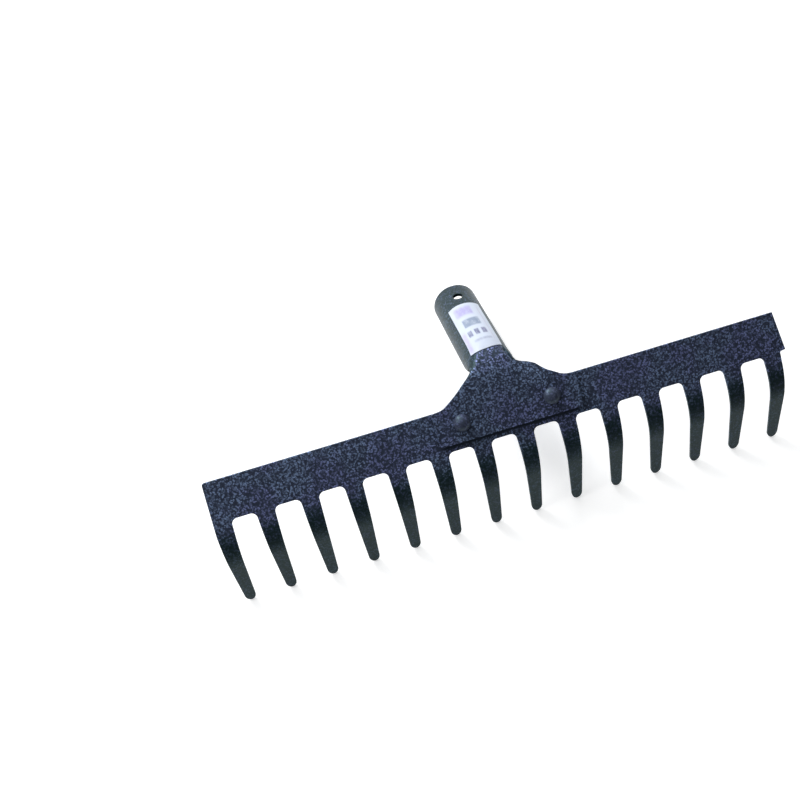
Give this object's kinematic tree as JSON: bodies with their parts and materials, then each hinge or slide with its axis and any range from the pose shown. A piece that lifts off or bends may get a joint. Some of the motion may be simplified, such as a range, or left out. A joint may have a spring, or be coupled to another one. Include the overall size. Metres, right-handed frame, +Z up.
{
  "type": "garden rake head",
  "caption": "Level rake head: a flat stamped blade with bent-back teeth, riveted to a pressed round socket for a wooden handle; dark hammered paint.",
  "frame": {"origin": "centre of the bounding box's base: the surface that the head lies on, under the middle of its box", "axes": "+X along the blade, to the right of someone looking at its riveted front with the socket at the top; +Y towards the socket's mouth; +Z up, away from the surface that the tooth tips and the socket's rim rest on"},
  "size_m": [0.365, 0.1548, 0.068],
  "materials": {
    "blade_paint": "dark blue-black hammered enamel",
    "socket_paint": "dark blue-grey hammered enamel, smoother on the tube",
    "rivet_left_paint": "dark hammered enamel over a steel rivet",
    "rivet_right_paint": "dark hammered enamel over a steel rivet",
    "label_paper": "coated paper with plain colour fields, no lettering"
  },
  "bodies": {
    "root": {"toothed_blade": "blade_paint", "socket": "socket_paint", "rivet_left": "rivet_left_paint", "rivet_right": "rivet_right_paint", "label": "label_paper"}
  },
  "joints": []
}
